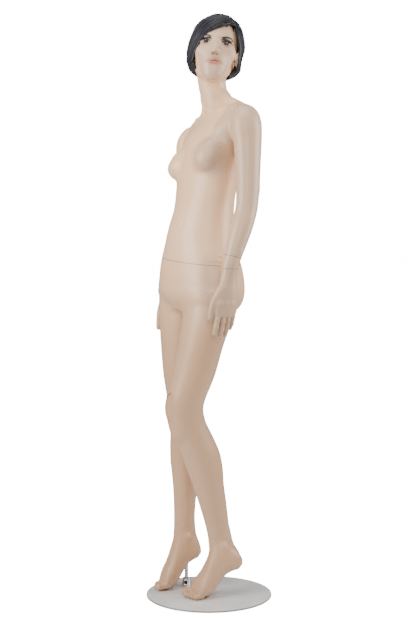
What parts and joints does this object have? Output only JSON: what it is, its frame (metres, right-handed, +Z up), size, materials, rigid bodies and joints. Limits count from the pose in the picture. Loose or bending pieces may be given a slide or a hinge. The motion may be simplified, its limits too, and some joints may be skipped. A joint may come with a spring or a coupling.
{
  "type": "full body mannequin",
  "caption": "Standing full body female shop mannequin, hollow moulded shells with waist, shoulder and wrist joints, bob wig, foot rod and round steel base",
  "frame": {"origin": "centre of the round base on the floor", "axes": "+Z up, the hips face -Y, the figure's left side is at +X"},
  "size_m": [0.4452, 0.386, 1.7809],
  "materials": {
    "skin_paint": "satin sprayed skin paint on a moulded glass fibre shell",
    "hair_fibre": "straight synthetic hair, near black with a soft sheen",
    "lash_fibre": "synthetic lash strips",
    "wig_net": "stretch net wig cap",
    "brushed_steel": "brushed steel with streaks and light scuffs",
    "chrome": "bright chrome plate",
    "zinc_steel": "zinc plated steel",
    "black_steel": "black oxide",
    "foam_pad": "dense foam sheet",
    "cover_board": "painted fibreboard"
  },
  "bodies": {
    "base": {"base_plate": "brushed_steel", "base_backing_pad": "foam_pad", "rod_collar": "chrome", "collar_fixing_screw": "zinc_steel"},
    "set_screw": {"collar_set_screw": "black_steel"},
    "rod": {"support_rod": "chrome"},
    "lower_body": {"lower_body_shell": "skin_paint", "foot_socket_tube": "zinc_steel", "waist_plate_lower": "cover_board", "waist_lock_ring": "zinc_steel", "waist_screw_1": "zinc_steel", "waist_screw_2": "zinc_steel", "waist_screw_3": "zinc_steel", "waist_screw_4": "zinc_steel"},
    "torso": {"upper_body_shell": "skin_paint", "waist_plate_upper": "cover_board", "waist_stud": "zinc_steel", "waist_stud_nut": "zinc_steel", "wig_cap": "wig_net", "wig_hair": "hair_fibre", "eyelash_left": "lash_fibre", "eyelash_right": "lash_fibre", "shoulder_left_plate_lower": "cover_board", "shoulder_left_lock_ring": "zinc_steel", "shoulder_left_screw_1": "zinc_steel", "shoulder_left_screw_2": "zinc_steel", "shoulder_right_plate_lower": "cover_board", "shoulder_right_lock_ring": "zinc_steel", "shoulder_right_screw_1": "zinc_steel", "shoulder_right_screw_2": "zinc_steel"},
    "arm_left": {"arm_shell_left": "skin_paint", "shoulder_left_plate_upper": "cover_board", "shoulder_left_stud": "zinc_steel", "shoulder_left_stud_nut": "zinc_steel", "wrist_socket_left": "zinc_steel"},
    "hand_left": {"hand_left": "skin_paint", "wrist_peg_left": "zinc_steel"},
    "arm_right": {"arm_shell_right": "skin_paint", "shoulder_right_plate_upper": "cover_board", "shoulder_right_stud": "zinc_steel", "shoulder_right_stud_nut": "zinc_steel", "wrist_socket_right": "zinc_steel"},
    "hand_right": {"hand_right": "skin_paint", "wrist_peg_right": "zinc_steel"}
  },
  "joints": [
    {"name": "set_screw_travel", "type": "slide", "parent": "base", "child": "set_screw", "axis": [0.766, -0.6428, 0], "range_m": [0, 0.004]},
    {"name": "rod_lift", "type": "slide", "parent": "base", "child": "rod", "axis": [0, 0, 1], "range_m": [0, 0.03]},
    {"name": "lower_body_lift", "type": "slide", "parent": "rod", "child": "lower_body", "axis": [0, 0, 1], "range_m": [0, 0.24]},
    {"name": "waist_turn", "type": "hinge", "parent": "lower_body", "child": "torso", "pos_m": [-0.033, -0.01, 1.032], "axis": [0.1191, 0, 0.9929], "range_deg": [0, 30]},
    {"name": "shoulder_left_turn", "type": "hinge", "parent": "torso", "child": "arm_left", "pos_m": [0.089, 0.047, 1.446], "axis": [1, 0, 0], "range_deg": [-80, 15]},
    {"name": "shoulder_right_turn", "type": "hinge", "parent": "torso", "child": "arm_right", "pos_m": [-0.155, 0.047, 1.40696], "axis": [1, 0, 0], "range_deg": [-80, 10]},
    {"name": "wrist_left_turn", "type": "hinge", "parent": "arm_left", "child": "hand_left", "pos_m": [0.157, -0.02, 1.04], "axis": [-0.0111, 0.2894, 0.9572], "range_deg": [-60, 5]},
    {"name": "wrist_right_turn", "type": "hinge", "parent": "arm_right", "child": "hand_right", "pos_m": [-0.223, 0.00491, 0.99763], "axis": [-0.0111, -0.2304, -0.973], "range_deg": [-20, 5]}
  ]
}
